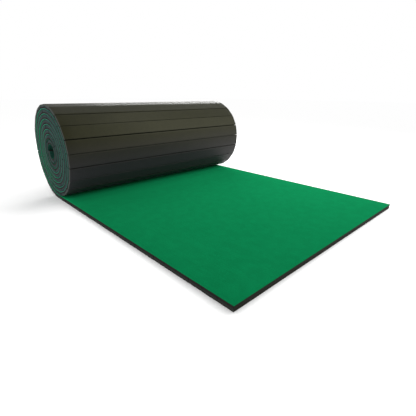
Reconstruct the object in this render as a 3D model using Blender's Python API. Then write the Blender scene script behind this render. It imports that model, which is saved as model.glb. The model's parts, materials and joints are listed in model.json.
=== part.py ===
"""Roll-out gym mat: one carpet bonded to foam that is slit into planks, partly rolled up.

Metres, +Z up. The origin is on the floor, under the middle of the plank that the roll stands on.
+X runs along the mat to its free end and Y runs across it. The carpet is on top where the mat
lies flat, and inside where it is rolled. Each slit is a hinge: the carpet folds along its own
top surface, and the foam opens on the other side.
"""

import math

import bmesh
import bpy
from mathutils import Matrix

# Driving dimensions of the flat mat
MAT_WIDTH = 1.829
MAT_THICKNESS = 0.035
CARPET_THICKNESS = 0.004
GLUE_GAP = 0.0003
PLANK_PITCH = 0.0968
SLIT_WIDTH = 0.0006
TAIL_PLANKS = 20
ROLLED_PLANKS = 105

# Driving dimensions of the roll. Radii are from its centre to the carpet's inner surface
HINGE_RADIUS = 0.3597
FLATTENING = 0.0046
FLATTENED_ANGLE = math.radians(12.0)
ROLL_LEAN = 0.0065
LOOSE_TURN_PITCH = 0.0404
TIGHT_TURN_PITCH = 0.0388
LOOSE_TURNS = 2.5
SEPARATE_ROLL_PLANKS = 7
FLAT_ROLLED_PLANKS = 32
BEND_STEP = math.radians(8.0)
UNCUT_SKIN = 0.0015
OPEN_SHARE = 0.3

# Worked out from them
FOAM_THICKNESS = MAT_THICKNESS - CARPET_THICKNESS - GLUE_GAP
PLANK_LENGTH = PLANK_PITCH - SLIT_WIDTH
START_RADIUS = HINGE_RADIUS - FLATTENING
START_ANGLE = math.asin((PLANK_PITCH / 2 - ROLL_LEAN) / START_RADIUS)
ROLL_CENTRE_HEIGHT = MAT_THICKNESS + START_RADIUS * math.cos(START_ANGLE)
FULL_TURN = 2 * math.pi

CARPET_GREEN = (0.004, 0.235, 0.082)
FOAM_CHARCOAL = (0.042, 0.044, 0.032)
CARPET_ROUGHNESS = 0.95
FOAM_ROUGHNESS = 0.6


def clear_scene():
    for thing in list(bpy.data.objects):
        bpy.data.objects.remove(thing, do_unlink=True)


def make_collection():
    collection = bpy.data.collections.new("roll_out_gym_mat")
    bpy.context.scene.collection.children.link(collection)
    return collection


def make_material(name, colour, roughness):
    material = bpy.data.materials.new(name)
    material.use_nodes = True
    shader = material.node_tree.nodes["Principled BSDF"]
    shader.inputs["Base Color"].default_value = (*colour, 1.0)
    shader.inputs["Roughness"].default_value = roughness
    shader.inputs["Metallic"].default_value = 0.0
    return material


def is_carpet(name):
    return name.startswith("carpet") or name.endswith("carpet")


def add_piece(collection, name, data, parent=None):
    """Links a mesh or curve as a named piece with its own material."""
    piece = bpy.data.objects.new(name, data)
    if is_carpet(name):
        data.materials.append(make_material(name, CARPET_GREEN, CARPET_ROUGHNESS))
    else:
        data.materials.append(make_material(name, FOAM_CHARCOAL, FOAM_ROUGHNESS))
    piece.parent = parent
    collection.objects.link(piece)
    return piece


# ---- the mat's layers, in the frame of one plank: hinge at the origin, +X along the plank,
# ---- +Z on the carpet side, with the carpet's top surface at z = 0


def layer_mesh(name, top, thickness):
    """A box for one layer of a plank."""
    centre = Matrix.Translation((PLANK_PITCH / 2, 0.0, top - thickness / 2))
    size = Matrix.Diagonal((PLANK_LENGTH, MAT_WIDTH, thickness, 1.0))
    shape = bmesh.new()
    bmesh.ops.create_cube(shape, size=1.0, matrix=centre @ size)
    mesh = bpy.data.meshes.new(name)
    shape.to_mesh(mesh)
    shape.free()
    return mesh


def add_layers(collection, group, number, parent):
    """The foam slat and the carpet strip of one plank."""
    foam = f"foam_{group}_slat{number}"
    carpet = f"carpet_{group}_strip{number}"
    foam_top = FOAM_THICKNESS - MAT_THICKNESS
    add_piece(collection, foam, layer_mesh(foam, foam_top, FOAM_THICKNESS), parent)
    add_piece(collection, carpet, layer_mesh(carpet, 0.0, CARPET_THICKNESS), parent)


def add_hinge(collection, name, parent, offset, fold):
    """An empty on a hinge line, turned towards the carpet side by the fold there."""
    hinge = bpy.data.objects.new(name, None)
    hinge.parent = parent
    hinge.location = (offset, 0.0, 0.0)
    hinge.rotation_euler = (0.0, -fold, 0.0)
    collection.objects.link(hinge)
    return hinge


def add_chain(collection, first_hinge, group, folds):
    """Planks one after another, each on the hinge at the end of the one before."""
    hinge = first_hinge
    for number, fold in enumerate(folds, start=1):
        if number > 1:
            hinge = add_hinge(collection, f"hinge_{group}_{number:02d}", hinge, PLANK_PITCH, fold)
        add_layers(collection, group, f"_{number:02d}", hinge)


# ---- the roll's spiral


def roll_radius(angle):
    """The carpet's inner radius after the mat has turned by an angle from its first hinge.

    The roll's weight flattens it a little at its first hinge, beside the contact plank.
    """
    loose = min(angle, LOOSE_TURNS * FULL_TURN)
    tight = angle - loose
    flattened = FLATTENING * max(0.0, 1.0 - angle / FLATTENED_ANGLE)
    spiral = (LOOSE_TURN_PITCH * loose + TIGHT_TURN_PITCH * tight) / FULL_TURN
    return HINGE_RADIUS - flattened - spiral


def roll_point(angle, offset=0.0):
    """X and Z at that angle, a distance outside the carpet's inner surface.

    The roll's centre is a little to -X of the contact plank's middle, so that the plank of the
    second turn lies level right over the contact plank.
    """
    radius = roll_radius(angle) + offset
    turned = angle + START_ANGLE
    x = -ROLL_LEAN - radius * math.sin(turned)
    return x, ROLL_CENTRE_HEIGHT - radius * math.cos(turned)


def flat_plank_end(angle):
    """The angle of the next hinge after a flat plank: the chord is one plank long."""
    low = angle
    high = angle + 2 * PLANK_PITCH / roll_radius(angle)
    for _ in range(50):
        middle = (low + high) / 2
        if math.dist(roll_point(angle), roll_point(middle)) < PLANK_PITCH:
            low = middle
        else:
            high = middle
    return low


def bent_plank_end(angle):
    """The angle of the next slit after a bent plank: the arc is one plank long."""
    step = PLANK_PITCH / roll_radius(angle)
    for _ in range(20):
        step = PLANK_PITCH / roll_radius(angle + step / 2)
    return angle + step


def slit_angles():
    angles = [0.0]
    for plank in range(1, ROLLED_PLANKS + 1):
        flat = plank <= FLAT_ROLLED_PLANKS
        angles.append(flat_plank_end(angles[-1]) if flat else bent_plank_end(angles[-1]))
    return angles


def flat_point(start, end, along, outside):
    """A point on a flat rolled plank: a distance along it and a distance outside its carpet."""
    from_x, from_z = roll_point(start)
    to_x, to_z = roll_point(end)
    run_x = (to_x - from_x) / PLANK_PITCH
    run_z = (to_z - from_z) / PLANK_PITCH
    return from_x + run_x * along - run_z * outside, from_z + run_z * along + run_x * outside


def even_angles(start, end):
    """Even steps along a bent plank, fine enough to look round."""
    steps = math.ceil((end - start) / BEND_STEP)
    return [start + (end - start) * step / steps for step in range(steps + 1)]


def core_planks(slits):
    """The two slit angles of each plank of the core: the flat ones, then the bent ones."""
    flat_starts = slits[SEPARATE_ROLL_PLANKS:FLAT_ROLLED_PLANKS]
    flat_ends = slits[SEPARATE_ROLL_PLANKS + 1:FLAT_ROLLED_PLANKS + 1]
    bent_starts = slits[FLAT_ROLLED_PLANKS:-1]
    bent_ends = slits[FLAT_ROLLED_PLANKS + 1:]
    return list(zip(flat_starts, flat_ends)), list(zip(bent_starts, bent_ends))


def smooth_side(slits, outside):
    """One unbroken side of the core's spiral, from its first hinge to the mat's inner end."""
    flat, bent = core_planks(slits)
    side = [flat_point(*flat[0], SLIT_WIDTH / 2, outside)]
    side += [roll_point(end, outside) for _, end in flat]
    for start, end in bent:
        side += [roll_point(angle, outside) for angle in even_angles(start, end)[1:]]
    return side


def notched_side(slits):
    """The foam's outer side. It dips at each slit nearly to the carpet."""
    flat, bent = core_planks(slits)
    skin = MAT_THICKNESS - FOAM_THICKNESS + UNCUT_SKIN
    side = []
    for start, end in flat:
        side.append(flat_point(start, end, SLIT_WIDTH / 2, MAT_THICKNESS))
        side.append(flat_point(start, end, PLANK_PITCH - SLIT_WIDTH / 2, MAT_THICKNESS))
        side.append(roll_point(end, skin))
    for start, end in bent:
        opening = MAT_THICKNESS * OPEN_SHARE * (end - start) / 2
        edge = opening / (roll_radius(start) + MAT_THICKNESS)
        angles = even_angles(start + edge, end - edge)
        side += [roll_point(angle, MAT_THICKNESS) for angle in angles]
        side.append(roll_point(end, skin))
    return side[:-1]


def add_rolled_outline(collection, name, outline):
    """A closed outline in X and Z, extruded across the mat's width."""
    curve = bpy.data.curves.new(name, "CURVE")
    curve.dimensions = "2D"
    curve.fill_mode = "BOTH"
    curve.extrude = MAT_WIDTH / 2
    spline = curve.splines.new("POLY")
    spline.points.add(len(outline) - 1)
    for point, (x, z) in zip(spline.points, outline):
        point.co = (x, z, 0.0, 1.0)
    spline.use_cyclic_u = True
    piece = add_piece(collection, name, curve)
    piece.rotation_euler = (math.pi / 2, 0.0, 0.0)


# ---- the object


def add_contact_plank(collection):
    """The plank under the roll. It lies on the floor, between the tail and the roll."""
    edge = add_hinge(collection, "contact_edge", None, -PLANK_PITCH / 2, 0.0)
    edge.location.z = MAT_THICKNESS
    add_layers(collection, "contact", "", edge)


def add_tail(collection):
    """The laid-out part. Its first hinge is at the contact plank's +X edge."""
    hinge = add_hinge(collection, "hinge_tail_01", None, PLANK_PITCH / 2, 0.0)
    hinge.location.z = MAT_THICKNESS
    add_chain(collection, hinge, "tail", [0.0] * TAIL_PLANKS)


def plank_slopes(slits):
    """The slope of each flat rolled plank, counted from the contact plank."""
    slopes = [0.0]
    for start, end in zip(slits, slits[1:FLAT_ROLLED_PLANKS + 1]):
        from_x, from_z = roll_point(start)
        to_x, to_z = roll_point(end)
        slopes.append(math.atan2(to_z - from_z, from_x - to_x) % FULL_TURN)
    return slopes


def add_outer_planks(collection, slits):
    """The first planks of the roll's outer turn, one after another from the contact plank."""
    slopes = plank_slopes(slits)
    folds = [after - before for before, after in zip(slopes, slopes[1:])]
    hinge = add_hinge(collection, "hinge_roll_01", None, -PLANK_PITCH / 2, folds[0])
    hinge.location.z = MAT_THICKNESS
    hinge.rotation_euler.z = math.pi
    add_chain(collection, hinge, "roll", folds[:SEPARATE_ROLL_PLANKS])


def add_core(collection, slits):
    """The rest of the roll: its carpet in one strip, and its foam with open slits."""
    carpet = smooth_side(slits, 0.0) + smooth_side(slits, CARPET_THICKNESS)[::-1]
    add_rolled_outline(collection, "core_carpet", carpet)
    foam = smooth_side(slits, MAT_THICKNESS - FOAM_THICKNESS) + notched_side(slits)[::-1]
    add_rolled_outline(collection, "core_foam", foam)


def main():
    clear_scene()
    collection = make_collection()
    slits = slit_angles()
    add_contact_plank(collection)
    add_tail(collection)
    add_outer_planks(collection, slits)
    add_core(collection, slits)


main()
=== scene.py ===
import json
import math

import bpy
import numpy as np
from mathutils import Matrix, Vector

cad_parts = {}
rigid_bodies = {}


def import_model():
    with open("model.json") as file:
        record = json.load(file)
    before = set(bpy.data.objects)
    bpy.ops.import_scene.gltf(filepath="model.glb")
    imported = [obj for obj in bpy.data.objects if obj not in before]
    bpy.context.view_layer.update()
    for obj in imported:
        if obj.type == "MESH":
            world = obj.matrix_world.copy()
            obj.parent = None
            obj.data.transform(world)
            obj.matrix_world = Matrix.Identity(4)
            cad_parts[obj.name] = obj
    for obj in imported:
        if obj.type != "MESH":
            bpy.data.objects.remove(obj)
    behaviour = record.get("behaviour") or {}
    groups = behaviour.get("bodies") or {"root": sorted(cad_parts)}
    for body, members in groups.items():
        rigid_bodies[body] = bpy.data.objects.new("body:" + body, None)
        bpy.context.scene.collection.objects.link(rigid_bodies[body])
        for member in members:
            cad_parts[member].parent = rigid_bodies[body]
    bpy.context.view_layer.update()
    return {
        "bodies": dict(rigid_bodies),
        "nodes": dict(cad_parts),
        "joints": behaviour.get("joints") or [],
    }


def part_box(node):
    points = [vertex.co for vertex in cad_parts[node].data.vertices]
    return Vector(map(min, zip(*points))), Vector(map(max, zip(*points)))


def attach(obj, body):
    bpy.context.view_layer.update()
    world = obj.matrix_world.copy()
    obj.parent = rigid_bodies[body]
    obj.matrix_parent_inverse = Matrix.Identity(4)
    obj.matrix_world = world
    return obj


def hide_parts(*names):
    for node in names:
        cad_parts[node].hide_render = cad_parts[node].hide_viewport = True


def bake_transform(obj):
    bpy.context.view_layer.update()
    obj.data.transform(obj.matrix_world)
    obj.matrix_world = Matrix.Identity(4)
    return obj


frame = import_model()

# ---- sizes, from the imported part

HINGE = {joint["name"]: joint["pos_m"] for joint in frame["joints"]}
foam_low, foam_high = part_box("foam_contact_slat")
strip_low, strip_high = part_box("carpet_contact_strip")
WIDTH = foam_high.y - foam_low.y
PITCH = HINGE["tail_hinge_02"][0] - HINGE["roll_up"][0]
THICKNESS = strip_high.z
CARPET = strip_high.z - strip_low.z
FOAM_TOP = THICKNESS - foam_high.z
TAIL_PLANKS = len(frame["bodies"]) - 1
ROLL_NODES = [name for name in frame["nodes"] if "_roll_" in name or name.startswith("core_")]

# The roll's spiral, with the same values as the part's source
ROLLED_PLANKS = 105
FLAT_ROLLED_PLANKS = 32
HINGE_RADIUS = 0.3597
FLATTENING = 0.0046
START_RADIUS = HINGE_RADIUS - FLATTENING
FLATTENED_ANGLE = math.radians(12.0)
ROLL_LEAN = 0.0065
LOOSE_TURN_PITCH = 0.0404
TIGHT_TURN_PITCH = 0.0388
LOOSE_TURNS = 2.5
START_ANGLE = math.asin((PITCH / 2 - ROLL_LEAN) / START_RADIUS)
CENTRE_HEIGHT = THICKNESS + START_RADIUS * math.cos(START_ANGLE)
FULL_TURN = 2 * math.pi

# How the carpet bends and the foam swells. The shares are of a slit's opening between rigid planks.
SLIT = 0.0006
BEND_ZONE = 0.010  # to each side of a slit
INNER_SLIT_OPEN = 0.14
WIDE_SLIT_CLOSED = 0.30
TIGHT_SLIT_CLOSED = 0.72
LAST_FLAT_PLANK = 24  # counted from the contact plank, as the next two are
FIRST_ROUND_PLANK = 36
FIRST_HIDDEN_PLANK = 24

# Rounded corners, and how finely the pieces are drawn
OUTER_ROUNDING = 0.0012
INNER_ROUNDING = 0.0005
END_ROUNDING = 0.0012
CARPET_ROUNDING = 0.0013
BACKING_ROUNDING = 0.0006
QUARTER_TURN = np.radians([0.0, 30.0, 60.0, 90.0])
FOAM_POINTS_ALONG = 7
FOAM_STATIONS = 22
HIDDEN_FOAM_STATIONS = 5
CARPET_POINTS_ACROSS = 12
ROLLED_CARPET_POINTS_ACROSS = 3


# ---- the mat's path, from its free end to the middle of the roll


def spiral_radius(angle):
    """The carpet's inner radius after the mat has turned by an angle from its first hinge."""
    loose = min(angle, LOOSE_TURNS * FULL_TURN)
    tight = angle - loose
    flattened = (HINGE_RADIUS - START_RADIUS) * max(0.0, 1.0 - angle / FLATTENED_ANGLE)
    spiral = (LOOSE_TURN_PITCH * loose + TIGHT_TURN_PITCH * tight) / FULL_TURN
    return HINGE_RADIUS - flattened - spiral


def spiral_point(angle):
    """X and Z of the carpet's inner surface."""
    radius = spiral_radius(angle)
    turned = angle + START_ANGLE
    x = -ROLL_LEAN - radius * math.sin(turned)
    return np.array([x, CENTRE_HEIGHT - radius * math.cos(turned)])


def next_slit(angle, flat):
    """The angle one plank further on: along the chord, or along the arc."""
    low = angle
    high = angle + 2 * PITCH / spiral_radius(angle)
    for _ in range(50):
        middle = (low + high) / 2
        if flat:
            length = np.linalg.norm(spiral_point(middle) - spiral_point(angle))
        else:
            length = (middle - angle) * spiral_radius((angle + middle) / 2)
        if length < PITCH:
            low = middle
        else:
            high = middle
    return low


def slit_angles():
    """The angle of each slit of the roll, from the contact plank's edge inwards."""
    angles = [0.0]
    for plank in range(1, ROLLED_PLANKS + 1):
        angles.append(next_slit(angles[-1], plank <= FLAT_ROLLED_PLANKS))
    return angles


def slit_points(angles):
    """X and Z of each slit's hinge line, from the free end to the roll's inner end."""
    edge = HINGE["roll_up"][0]
    points = [(edge + PITCH * plank, THICKNESS) for plank in range(TAIL_PLANKS, -1, -1)]
    return [np.array(point) for point in points] + [spiral_point(angle) for angle in angles]


# Planks are counted from the free end, so the contact plank comes after the whole tail.
ANGLES = slit_angles()
SLITS = slit_points(ANGLES)
PLANKS = len(SLITS) - 1
CONTACT = TAIL_PLANKS


def body_of(plank):
    return f"tail_{CONTACT - plank:02d}" if plank < CONTACT else "rolled_up"


def tail_node(plank, layer):
    """The CAD node of a laid-out plank's "foam" or "carpet"."""
    part = "slat" if layer == "foam" else "strip"
    return f"{layer}_tail_{part}_{CONTACT - plank:02d}"


def rolled_nodes(layer):
    """The CAD nodes of the whole rolled-up part's "foam" or "carpet"."""
    part = "slat" if layer == "foam" else "strip"
    return [f"{layer}_contact_{part}"] + [name for name in ROLL_NODES if layer in name]


def direction(plank):
    """The way a plank runs, as X and Z, towards the middle of the roll."""
    run = SLITS[plank + 1] - SLITS[plank]
    return run / np.linalg.norm(run)


def turned(vectors, angle):
    """Vectors in X and Z, turned by an angle."""
    c, s = np.cos(angle), np.sin(angle)
    x, z = vectors[..., 0], vectors[..., 1]
    return np.stack([c * x - s * z, s * x + c * z], axis=-1)


def fold_after(plank):
    """How far the mat turns at the slit after this plank. It is below 0 where the mat rolls up."""
    a, b = direction(plank), direction(plank + 1)
    return math.atan2(a[0] * b[1] - a[1] * b[0], a @ b)


def outward(run):
    """The foam side of a stretch of mat, square to the way it runs."""
    return np.stack([-run[..., 1], run[..., 0]], axis=-1)


def bent_share(plank):
    """0 for a plank that stays flat in the roll, 1 for one bent to the roll's round."""
    past_flat = plank - CONTACT - LAST_FLAT_PLANK
    return float(np.clip(past_flat / (FIRST_ROUND_PLANK - LAST_FLAT_PLANK), 0.0, 1.0))


def ripple(x, seed):
    """A smooth wandering value between about -1 and 1."""
    value = 0.0
    for step, (rate, size) in enumerate(((1.0, 0.5), (2.3, 0.3), (5.1, 0.2))):
        value = value + size * np.sin(x * rate + seed * (1.7 + step) + step)
    return value


def sideways(plank, along):
    """How far the inner turns slip sideways, as in a roll wound by hand."""
    rolled = plank - CONTACT + along / PITCH
    grown = np.clip((rolled - 8.0) / 20.0, 0.0, 1.0)
    return grown * (0.0016 * ripple(rolled * 0.12, 3.0) + 0.0012 * ripple(rolled * 0.5, 8.0))


def surface(plank, along):
    """Points on the carpet's top surface, and the directions that point away from it."""
    along = np.asarray(along, float)
    start = SLITS[plank]
    run = direction(plank)
    chord = start + along[..., None] * run
    share = bent_share(plank)
    if share == 0.0:
        return chord, np.broadcast_to(outward(run), chord.shape)
    first, last = ANGLES[plank - CONTACT - 1], ANGLES[plank - CONTACT]

    def curve(distance):
        angle = first + (last - first) * distance / PITCH
        return np.array([spiral_point(a) for a in angle.ravel()]).reshape(*angle.shape, 2)

    step = 0.0005
    tangent = (1 - share) * run + share * (curve(along + step) - curve(along - step)) / (2 * step)
    tangent = tangent / np.linalg.norm(tangent, axis=-1, keepdims=True)
    return chord * (1 - share) + curve(along) * share, outward(tangent)


# ---- meshes


def section(low, high, inner, outer, inner_round, outer_round, middle):
    """A long section with rounded corners, as a loop of (place, depth) and its outward directions.

    The loop runs along the inner side and back along the outer one. The last argument is how many
    points each side has between its corners.
    """
    turn = QUARTER_TURN[:, None]
    steps = np.linspace(0.0, 1.0, middle + 2)[1:-1]
    loop, directions = [], []
    for depth, radius, side in ((inner, inner_round, -1.0), (outer, outer_round, 1.0)):
        away = np.hstack([-np.cos(turn), side * np.sin(turn)])
        centre = np.array([low + radius, depth - side * radius])
        flat = np.array([(low + radius + (high - low - 2 * radius) * t, depth) for t in steps])
        mirrored = away[::-1] * (-1.0, 1.0)
        opposite = np.array([high - radius, depth - side * radius])
        points = np.vstack([centre + radius * away, flat, opposite + radius * mirrored])
        normals = np.vstack([away, np.tile((0.0, side), (middle, 1)), mirrored])
        loop.append(points if side < 0 else points[::-1])
        directions.append(normals if side < 0 else normals[::-1])
    return np.vstack(loop), np.vstack(directions)


def rounded_ends(low, high, radius, inside):
    """Stations from end to end, and how far the section draws in at each."""
    start = [(low + radius * (1 - math.cos(t)), radius * (1 - math.sin(t))) for t in QUARTER_TURN]
    middle = [(place, 0.0) for place in inside]
    finish = [(high - (place - low), inset) for place, inset in start[::-1]]
    return start + middle + finish


def swept(loop, directions, stations, place, flatten):
    """Vertices, flat-mat coordinates and faces of a section swept through its stations."""
    count = len(loop)
    rows, flats = [], []
    for station, inset in stations:
        drawn = loop - inset * directions
        rows.append(place(drawn[:, 0], drawn[:, 1], station))
        flats.append(flatten(drawn[:, 0], drawn[:, 1], station))
    faces = []
    for row in range(len(stations) - 1):
        for i in range(count):
            j = (i + 1) % count
            a, b = row * count, (row + 1) * count
            faces.append((a + i, a + j, b + j, b + i))
    last = (len(stations) - 1) * count
    for i in range(count // 2 - 1):
        k = count - 1 - i
        faces.append((i + 1, i, k, k - 1))
        faces.append((last + i, last + i + 1, last + k - 1, last + k))
    return np.vstack(rows), np.vstack(flats), np.array(faces)


def make_piece(name, parts, material):
    """One object out of closed bodies, shaded smooth with its sharp edges kept."""
    points = np.vstack([part[0] for part in parts])
    flats = np.vstack([part[1] for part in parts])
    starts = np.cumsum([0] + [len(part[0]) for part in parts[:-1]])
    faces = np.vstack([part[2] + start for part, start in zip(parts, starts)])
    if volume(points, faces) < 0:
        faces = faces[:, ::-1]
    mesh = bpy.data.meshes.new(name)
    mesh.from_pydata(points.tolist(), [], faces.tolist())
    mesh.attributes.new("flat", "FLOAT_VECTOR", "POINT").data.foreach_set("vector", flats.ravel())
    mesh.shade_smooth()
    mesh.set_sharp_from_angle(angle=math.radians(40.0))
    mesh.materials.append(material)
    piece = bpy.data.objects.new(name, mesh)
    bpy.context.scene.collection.objects.link(piece)
    return piece


def volume(points, faces):
    """Six times the volume that the four-sided faces close in, below 0 if they point inwards."""
    a, b, c, d = (points[faces[:, i]] for i in range(4))
    return float(np.sum(np.cross(b - a, c - a) * a) + np.sum(np.cross(c - a, d - a) * a))


# ---- foam


def swelling(plank, depth, outer, from_middle):
    """How far a plank spreads along the mat's path at each depth, as a share of its length."""
    share = bent_share(plank)
    if share:
        radius = spiral_radius(ANGLES[plank - CONTACT])
        return 1.0 - INNER_SLIT_OPEN * share * (depth / radius) / (1 + depth / radius)
    if plank > CONTACT:
        nearest = plank + (from_middle > 0)
        closed = np.where(nearest % 2 == 0, WIDE_SLIT_CLOSED, TIGHT_SLIT_CLOSED)
        return 1.0 + closed * abs(fold_after(plank)) * outer ** 2 * THICKNESS / PITCH
    return 1.0


def foam_plank(plank, stations):
    """One plank of foam between two slits, its outer face a little crowned, dented and uneven."""
    corners = (SLIT / 2, PITCH - SLIT / 2, FOAM_TOP, THICKNESS)
    loop, directions = section(*corners, INNER_ROUNDING, OUTER_ROUNDING, FOAM_POINTS_ALONG)
    seed = plank * 0.77
    half = WIDTH / 2
    long_end = half + 0.0005 * math.sin(seed * 3.1)
    slip = sideways(plank, PITCH / 2)

    def place(along, depth, y):
        outer = (depth - FOAM_TOP) / (THICKNESS - FOAM_TOP)
        from_middle = along / PITCH - 0.5
        wander = 0.0004 * ripple(y * 9.0, seed) * outer
        crown = 0.0005 * outer * (2 * from_middle) ** 4
        dent = 0.00025 * outer * ripple(y * 14.0 + along * 30.0, seed + 2.0)
        swollen = (along - PITCH / 2) * swelling(plank, depth, outer, from_middle)
        moved = PITCH / 2 + swollen + wander * (4 * from_middle ** 2)
        point, away = surface(plank, moved)
        sunk = np.maximum(depth - crown - dent, FOAM_TOP)
        spot = point + away * np.minimum(sunk, THICKNESS)[:, None]
        side = np.full(len(spot), y * long_end / half + slip)
        return np.stack([spot[:, 0], side, spot[:, 1]], axis=-1)

    def flatten(along, depth, y):
        return np.stack([np.full(len(along), y), plank * PITCH + along, depth], axis=-1)

    inside = np.linspace(-half, half, stations + 2)[1:-1]
    return swept(loop, directions, rounded_ends(-half, half, END_ROUNDING, inside), place, flatten)


def add_foam(material):
    """A piece for each laid-out plank, and one for all the rolled planks."""
    for plank in range(CONTACT):
        body = foam_plank(plank, FOAM_STATIONS)
        piece = make_piece(f"foam_plank_{CONTACT - plank:02d}", [body], material)
        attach(piece, body_of(plank))
        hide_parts(tail_node(plank, "foam"))
    covered = CONTACT + FIRST_HIDDEN_PLANK
    seen = [foam_plank(plank, FOAM_STATIONS) for plank in range(CONTACT, covered)]
    hidden = [foam_plank(plank, HIDDEN_FOAM_STATIONS) for plank in range(covered, PLANKS)]
    roll = make_piece("rolled_foam", seen + hidden, material)
    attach(roll, "rolled_up")
    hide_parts(*rolled_nodes("foam"))


# ---- carpet


def carpet_section(points_across):
    """The carpet cut square to its length, from side to side of the mat."""
    corners = (-WIDTH / 2, WIDTH / 2, 0.0, CARPET)
    return section(*corners, CARPET_ROUNDING, BACKING_ROUNDING, points_across)


def edge_wander(along, y):
    """The cut edge of the carpet isn't quite straight, and stands a little proud of the foam."""
    side = np.sign(y)
    near = np.clip(np.abs(y) / (WIDTH / 2), 0.0, 1.0) ** 12
    long_waves = 0.0004 * ripple(along * 31.0, 4.0 + side)
    short_waves = 0.0003 * ripple(along * 173.0, side)
    return side * near * (0.0012 + long_waves + short_waves)


def hinge_points(plank, distance, depth):
    """The start and the end of the bend come with them.
    """
    slit = SLITS[plank + 1]
    run = direction(plank)
    fold = fold_after(plank)
    middle = turned(run, fold / 2)
    flat = distance[:, None] * run + depth[:, None] * outward(run)
    along = distance
    for _ in range(40):
        t = np.clip((along + BEND_ZONE) / (2 * BEND_ZONE), 0.0, 1.0)
        spot = turned(flat, fold * t * t * (3 - 2 * t))
        along = (along + spot @ middle) / 2
    return slit + spot, slit - BEND_ZONE * middle, slit + BEND_ZONE * middle


def hinge_carpet(plank, material):
    """The strip of carpet from the middle of this plank to the middle of the next one."""
    loop, directions = carpet_section(CARPET_POINTS_ACROSS)
    bend = np.linspace(-BEND_ZONE, BEND_ZONE, 11)
    edges = [-PITCH / 2, -PITCH / 3, -PITCH / 5]
    stations = [(d, 0.0) for d in (*edges, *bend, PITCH / 5, PITCH / 3, PITCH / 2)]
    slit_place = (plank + 1) * PITCH

    def place(y, depth, distance):
        spot, _, _ = hinge_points(plank, np.full(len(y), distance), depth)
        side = y + edge_wander(slit_place + distance, y)
        return np.stack([spot[:, 0], side, spot[:, 1]], axis=-1)

    def flatten(y, depth, distance):
        return np.stack([y, np.full(len(y), slit_place + distance), depth], axis=-1)

    body = swept(loop, directions, stations, place, flatten)
    piece = make_piece(f"carpet_over_slit_{CONTACT - plank:02d}", [body], material)
    _, start, end = hinge_points(plank, np.zeros(1), np.zeros(1))
    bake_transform(piece)
    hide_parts(tail_node(plank, "carpet"))
    return piece


def free_end_carpet(material):
    """Half a plank of carpet up to the mat's free end."""
    loop, directions = carpet_section(CARPET_POINTS_ACROSS)
    proud = 0.0008
    inside = (0.004, 0.012, 0.025)
    rounded = rounded_ends(-proud, PITCH, END_ROUNDING, inside)[:len(QUARTER_TURN) + len(inside)]
    stations = rounded + [(PITCH / 2, 0.0)]

    def place(y, depth, along):
        point, away = surface(0, np.full(len(y), along))
        spot = point + away * depth[:, None]
        frayed = 0.0003 * ripple(y * 140.0, 2.0) * (along < 0.001)
        return np.stack([spot[:, 0] + frayed, y + edge_wander(along, y), spot[:, 1]], axis=-1)

    def flatten(y, depth, along):
        return np.stack([y, np.full(len(y), along), depth], axis=-1)

    body = swept(loop, directions, stations, place, flatten)
    piece = make_piece("carpet_free_end", [body], material)
    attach(piece, body_of(0))
    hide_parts(tail_node(0, "carpet"))
    return piece


def rolled_surface(place):
    """A point and outward direction of the rolled carpet, with each corner eased."""
    plank = min(int(place // PITCH), PLANKS - 1)
    along = place - plank * PITCH
    point, away = surface(plank, np.array([along]))
    if PITCH - along < BEND_ZONE and plank < PLANKS - 1:
        _, beyond = surface(plank + 1, np.array([0.0]))
        away = away + beyond * (1 - (PITCH - along) / BEND_ZONE)
    if along < BEND_ZONE:
        _, beyond = surface(plank - 1, np.array([PITCH]))
        away = away + beyond * (1 - along / BEND_ZONE)
    return point[0], away[0] / np.linalg.norm(away[0])


def rolled_carpet(material):
    """The carpet of the rolled-up part, all in one strip from the middle of the contact plank."""
    loop, directions = carpet_section(ROLLED_CARPET_POINTS_ACROSS)
    places = [(CONTACT + 0.5) * PITCH]
    shares = (0.0, 0.05, 0.1, 0.2, 0.35, 0.5, 0.65, 0.8, 0.9, 0.95)
    for plank in range(CONTACT, PLANKS):
        places += [(plank + share) * PITCH for share in shares if plank > CONTACT or share > 0.5]
    places.append(PLANKS * PITCH - SLIT)

    def place(y, depth, at):
        point, away = rolled_surface(at)
        spot = point + away * depth[:, None]
        slip = sideways(0, at)
        return np.stack([spot[:, 0], y + edge_wander(at, y) + slip, spot[:, 1]], axis=-1)

    def flatten(y, depth, at):
        return np.stack([y, np.full(len(y), at), depth], axis=-1)

    body = swept(loop, directions, [(at, 0.0) for at in places], place, flatten)
    piece = make_piece("rolled_carpet", [body], material)
    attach(piece, "rolled_up")
    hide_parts(*rolled_nodes("carpet"))
    return piece


def add_carpet(material):
    """The carpet in strips that meet without a gap, each with the length it has laid flat."""
    lengths = {free_end_carpet(material): PITCH / 2}
    for plank in range(CONTACT):
        lengths[hinge_carpet(plank, material)] = PITCH
    lengths[rolled_carpet(material)] = PITCH * (PLANKS - CONTACT - 0.5)


# ---- materials


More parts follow.
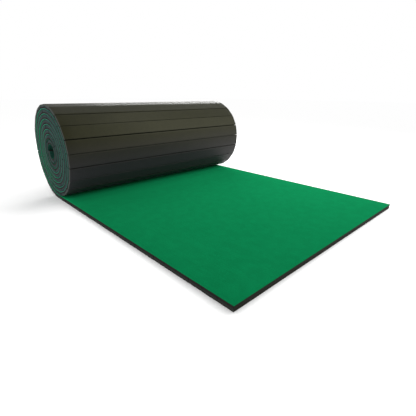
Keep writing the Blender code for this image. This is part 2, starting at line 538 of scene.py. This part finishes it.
class Look:
    """A Principled material and short calls for the nodes that feed it.

    Every texture reads the mat's flat coordinates: across, along from the free end, and depth.
    """

    def __init__(self, name):
        self.material = bpy.data.materials.new(name)
        self.material.use_nodes = True
        self.nodes = self.material.node_tree.nodes
        self.links = self.material.node_tree.links
        self.shader = self.nodes["Principled BSDF"]
        place = self.nodes.new("ShaderNodeAttribute")
        place.attribute_name = "flat"
        self.place = place.outputs["Vector"]

    def set(self, name, value):
        self.shader.inputs[name].default_value = value

    def drive(self, name, output):
        self.links.new(output, self.shader.inputs[name])

    def feed(self, socket, value):
        if isinstance(value, bpy.types.NodeSocket):
            self.links.new(value, socket)
        else:
            socket.default_value = value

    def math(self, operation, a, b=0.0):
        node = self.nodes.new("ShaderNodeMath")
        node.operation = operation
        for socket, value in zip(node.inputs, (a, b)):
            self.feed(socket, value)
        return node.outputs["Value"]

    def split(self):
        node = self.nodes.new("ShaderNodeSeparateXYZ")
        self.feed(node.inputs["Vector"], self.place)
        return node.outputs["X"], node.outputs["Y"], node.outputs["Z"]

    def stretched(self, x, y, z):
        node = self.nodes.new("ShaderNodeMapping")
        node.inputs["Scale"].default_value = (x, y, z)
        self.feed(node.inputs["Vector"], self.place)
        return node.outputs["Vector"]

    def noise(self, scale, detail=2.0, rough=0.5, vector=None):
        node = self.nodes.new("ShaderNodeTexNoise")
        node.inputs["Scale"].default_value = scale
        node.inputs["Detail"].default_value = detail
        node.inputs["Roughness"].default_value = rough
        self.feed(node.inputs["Vector"], vector or self.place)
        return node.outputs["Fac"]

    def cells(self, scale):
        node = self.nodes.new("ShaderNodeTexVoronoi")
        node.inputs["Scale"].default_value = scale
        self.feed(node.inputs["Vector"], self.place)
        return node.outputs["Distance"]

    def between(self, value, low, high, to_low=0.0, to_high=1.0):
        node = self.nodes.new("ShaderNodeMapRange")
        node.interpolation_type = "SMOOTHSTEP"
        names = ("Value", "From Min", "From Max", "To Min", "To Max")
        for name, number in zip(names, (value, low, high, to_low, to_high)):
            self.feed(node.inputs[name], number)
        return node.outputs["Result"]

    def mix(self, share, a, b):
        node = self.nodes.new("ShaderNodeMix")
        node.data_type = "RGBA"
        self.feed(node.inputs[0], share)
        for socket, value in ((node.inputs[6], a), (node.inputs[7], b)):
            self.feed(socket, (*value, 1.0) if isinstance(value, tuple) else value)
        return node.outputs[2]

    def random(self, value):
        node = self.nodes.new("ShaderNodeTexWhiteNoise")
        node.noise_dimensions = "1D"
        self.feed(node.inputs["W"], value)
        return node.outputs["Value"]

    def bump(self, height, strength, distance, normal=None):
        node = self.nodes.new("ShaderNodeBump")
        node.inputs["Strength"].default_value = strength
        node.inputs["Distance"].default_value = distance
        self.feed(node.inputs["Height"], height)
        if normal:
            self.feed(node.inputs["Normal"], normal)
        return node.outputs["Normal"]


def carpet_look():
    """Matt needle-punched pile in bright green.

    It is painted lighter near the roll, a painted light that makes up for the roll's shade, and painted
    dark in the roll's eye, a painted shade.
    """
    look = Look("needle_punch_pile")
    across, along, depth = look.split()
    from_middle = look.math("ABSOLUTE", across)
    fibre = look.noise(1100.0, 3.0, 0.7)
    clump = look.noise(150.0, 3.0, 0.6)
    streak = look.noise(1.0, 2.0, 0.6, look.stretched(260.0, 9.0, 40.0))
    broad = look.noise(3.5, 2.0, 0.5)
    patch = look.noise(16.0, 3.0, 0.55)
    tone = look.math("ADD", look.math("MULTIPLY", fibre, 0.45), look.math("MULTIPLY", clump, 0.35))
    tone = look.math("ADD", tone, look.math("MULTIPLY", streak, 0.2))
    shade = look.mix(look.between(tone, 0.3, 0.7), (0.0012, 0.099, 0.032), (0.0029, 0.195, 0.066))
    shade = look.mix(look.between(broad, 0.3, 0.7, 0.0, 0.35), shade, (0.0026, 0.160, 0.055))
    shade = look.mix(look.between(patch, 0.35, 0.65, 0.0, 0.22), shade, (0.0016, 0.100, 0.034))
    # painted light: the carpet near the roll, and all of the rolled carpet, is lighter to make up for
    # the roll's shade
    painted_light_near_roll = look.between(along, (CONTACT - 5) * PITCH, CONTACT * PITCH, 0.0, 0.75)
    shade = look.mix(painted_light_near_roll, shade, (0.0034, 0.235, 0.080))
    # painted light: a further lightening of the carpet just in front of the roll's contact line
    painted_light_at_contact = look.between(along, (CONTACT - 2.5) * PITCH, (CONTACT - 0.5) * PITCH, 0.0, 0.6)
    open_carpet = look.between(along, (CONTACT - 0.8) * PITCH, (CONTACT - 0.35) * PITCH, 1.0, 0.0)
    shade = look.mix(look.math("MULTIPLY", painted_light_at_contact, open_carpet), shade, (0.0044, 0.320, 0.110))
    edge = look.between(from_middle, WIDTH / 2 - 0.004, WIDTH / 2)
    worn = look.math("MULTIPLY", edge, look.between(clump, 0.35, 0.6))
    backing = look.between(depth, 0.0015, 0.0035)
    shade = look.mix(look.math("MULTIPLY", worn, 0.25), shade, (0.010, 0.19, 0.08))
    shade = look.mix(look.math("MULTIPLY", backing, 0.6), shade, (0.004, 0.06, 0.03))
    cut = look.between(from_middle, WIDTH / 2 - 0.0008, WIDTH / 2 + 0.0004)
    rolled = look.between(along, CONTACT * PITCH, (CONTACT + 1) * PITCH)
    shade = look.mix(look.math("MULTIPLY", cut, rolled), shade, (0.090, 0.265, 0.245))
    # painted shade: the carpet of the inner turns is darker, in the shade of the roll's eye
    painted_shade_in_eye = look.between(along, (PLANKS - 20) * PITCH, (PLANKS - 7) * PITCH)
    shade = look.mix(painted_shade_in_eye, shade, (0.012, 0.055, 0.040))
    look.drive("Base Color", shade)
    look.drive("Roughness", look.between(clump, 0.2, 0.8, 0.88, 1.0))
    look.set("Specular IOR Level", 0.0)
    look.set("Sheen Weight", 0.12)
    look.set("Sheen Roughness", 0.45)
    look.set("Sheen Tint", (0.05, 0.6, 0.25, 1.0))
    pile = look.bump(fibre, 0.55, 0.0009)
    look.drive("Normal", look.bump(clump, 0.4, 0.0012, pile))
    return look.material


def foam_look():
    """Closed-cell foam: a satin olive-black skin, and greyer open cells where it is cut.

    The skin is painted lighter and bluer on the roll's lower slats, a painted light where the studio
    lights least. The cut is painted dark deep in the slits and beside each carpet stripe, a painted
    shade.
    """
    look = Look("cross_linked_foam")
    across, along, depth = look.split()
    cells = look.cells(620.0)
    grain = look.noise(420.0, 3.0, 0.6)
    cloud = look.noise(14.0, 3.0, 0.55)
    drawn = look.noise(1.0, 3.0, 0.6, look.stretched(2.2, 55.0, 55.0))
    own = look.random(look.math("FLOOR", look.math("DIVIDE", along, PITCH)))
    skin = look.mix(look.between(cloud, 0.25, 0.75), (0.0072, 0.0075, 0.0020), (0.0110, 0.0112, 0.0033))
    # painted light: the roll's lower slats get a lighter, bluer skin, where the studio lights least
    painted_light_lower_slats = look.between(along, (CONTACT + 15.5) * PITCH, (CONTACT + 19) * PITCH)
    skin = look.mix(look.math("MULTIPLY", own, 0.35), skin, (0.0150, 0.0154, 0.0052))
    grit = look.noise(75.0, 3.0, 0.65)
    skin = look.mix(look.between(grit, 0.36, 0.64, 0.0, 0.55), skin, (0.0074, 0.0077, 0.0025))
    skin = look.mix(look.between(drawn, 0.45, 0.7, 0.0, 0.3), skin, (0.0095, 0.0098, 0.0036))
    # the painted light on the lower slats is mixed in here
    skin = look.mix(look.math("MULTIPLY", painted_light_lower_slats, 0.85), skin, (0.0285, 0.0262, 0.0330))
    slit = look.math("PINGPONG", along, PITCH / 2)
    near_slit = look.between(slit, 0.0, 0.0045, 1.0, 0.0)
    scuff = look.math("MULTIPLY", near_slit, look.between(grain, 0.42, 0.66))
    skin = look.mix(look.math("MULTIPLY", scuff, 0.3), skin, (0.045, 0.047, 0.036))
    cut = look.mix(look.between(cells, 0.05, 0.6), (0.008, 0.019, 0.020), (0.026, 0.048, 0.049))
    cut = look.mix(look.between(cloud, 0.3, 0.7, 0.0, 0.4), cut, (0.009, 0.028, 0.031))
    # painted shade: a dark line in the cut foam beside each carpet stripe, for the shade in the gap
    # between turns
    from_stripe = look.math("ABSOLUTE", look.math("SUBTRACT", depth, CARPET + 0.0055))
    painted_gap_shade = look.between(from_stripe, 0.004, 0.0085, 1.0, 0.0)
    cut = look.mix(painted_gap_shade, cut, (0.010, 0.0045, 0.006))
    outermost = look.between(along, (CONTACT + 21) * PITCH, (CONTACT + 22) * PITCH, 0.8, 0.0)
    rim = look.between(depth, THICKNESS * 0.5, THICKNESS * 0.75)
    cut = look.mix(look.math("MULTIPLY", outermost, rim), cut, (0.062, 0.068, 0.062))
    laid = look.between(along, (CONTACT - 0.5) * PITCH, CONTACT * PITCH, 1.0, 0.0)
    cut = look.mix(look.math("MULTIPLY", laid, 0.75), cut, (0.014, 0.011, 0.0115))
    end = look.between(look.math("ABSOLUTE", across), WIDTH / 2 - 0.0012, WIDTH / 2 - 0.0004)
    inside = look.between(depth, THICKNESS - 0.006, THICKNESS - 0.003, 1.0, 0.0)
    # painted shade: the cut walls deep in the slits are painted dark; the same mask makes these bare
    # cut walls rougher
    slit_cut_and_painted_shade = look.math("MULTIPLY", look.between(slit, 0.0004, 0.0008, 1.0, 0.0), inside)
    bare = look.math("MAXIMUM", end, slit_cut_and_painted_shade)
    shade = look.mix(end, look.mix(slit_cut_and_painted_shade, skin, (0.010, 0.010, 0.009)), cut)
    look.drive("Base Color", shade)
    smooth = look.between(grain, 0.3, 0.7, 0.42, 0.56)
    rough = look.math("ADD", smooth, look.math("MULTIPLY", bare, 0.35))
    look.drive("Roughness", rough)
    look.set("Specular IOR Level", 0.14)
    look.set("Specular Tint", (1.0, 0.98, 0.70, 1.0))
    pits = look.bump(cells, 0.25, 0.0007)
    waves = look.bump(drawn, 0.35, 0.0015, pits)
    look.drive("Normal", waves)
    return look.material


def floor_look():
    look = Look("studio_floor")
    look.set("Base Color", (0.99, 0.99, 0.99, 1.0))
    look.set("Roughness", 0.9)
    look.set("Specular IOR Level", 0.0)
    return look.material


# ---- studio


def add_floor():
    size = 40.0
    below = 0.0006
    corners = [(-size, -size, 0), (size, -size, 0), (size, size, 0), (-size, size, 0)]
    mesh = bpy.data.meshes.new("floor")
    mesh.from_pydata(corners, [], [(0, 1, 2, 3)])
    mesh.materials.append(floor_look())
    floor = bpy.data.objects.new("floor", mesh)
    floor.location.z = -below
    bpy.context.scene.collection.objects.link(floor)


def add_light(name, place, target, size, power):
    data = bpy.data.lights.new(name, "AREA")
    data.shape = "RECTANGLE"
    data.size, data.size_y = size
    data.energy = power
    light = bpy.data.objects.new(name, data)
    light.visible_camera = False
    light.location = place
    aim = Vector(target) - Vector(place)
    light.rotation_euler = aim.to_track_quat("-Z", "Y").to_euler()
    bpy.context.scene.collection.objects.link(light)


def add_world(strength):
    world = bpy.data.worlds.new("studio")
    world.use_nodes = True
    background = world.node_tree.nodes["Background"]
    background.inputs["Color"].default_value = (1.0, 1.0, 1.0, 1.0)
    background.inputs["Strength"].default_value = strength
    bpy.context.scene.world = world


def add_camera():
    place = (2.670, -1.7146, 0.8469)
    yaw, pitch, roll = 2.3824, 0.3548, 0.0069
    level = math.cos(pitch)
    forward = Vector((math.cos(yaw) * level, math.sin(yaw) * level, -math.sin(pitch)))
    right = forward.cross(Vector((0.0, 0.0, 1.0))).normalized()
    up = right.cross(forward)
    side = math.cos(roll) * right + math.sin(roll) * up
    top = -math.sin(roll) * right + math.cos(roll) * up
    data = bpy.data.cameras.new("camera")
    data.lens = 26.84
    data.sensor_width = 36.0
    camera = bpy.data.objects.new("camera", data)
    rows = [(side[i], top[i], -forward[i], place[i]) for i in range(3)]
    camera.matrix_world = Matrix((*rows, (0.0, 0.0, 0.0, 1.0)))
    bpy.context.scene.collection.objects.link(camera)
    bpy.context.scene.camera = camera


add_foam(foam_look())
add_carpet(carpet_look())
add_floor()
add_world(1.0)
add_light("key", (2.6, 2.9, 2.3), (0.1, 0.4, 0.3), (2.4, 2.4), 64.0)
add_light("overhead", (1.0, 0.55, 1.7), (0.45, 0.2, 0.0), (0.9, 1.8), 16.0)
add_light("rim", (-3.2, 2.6, 1.6), (-0.1, 0.0, 0.75), (3.0, 1.2), 130.0)
add_camera()
bpy.context.scene.view_settings.view_transform = "Standard"
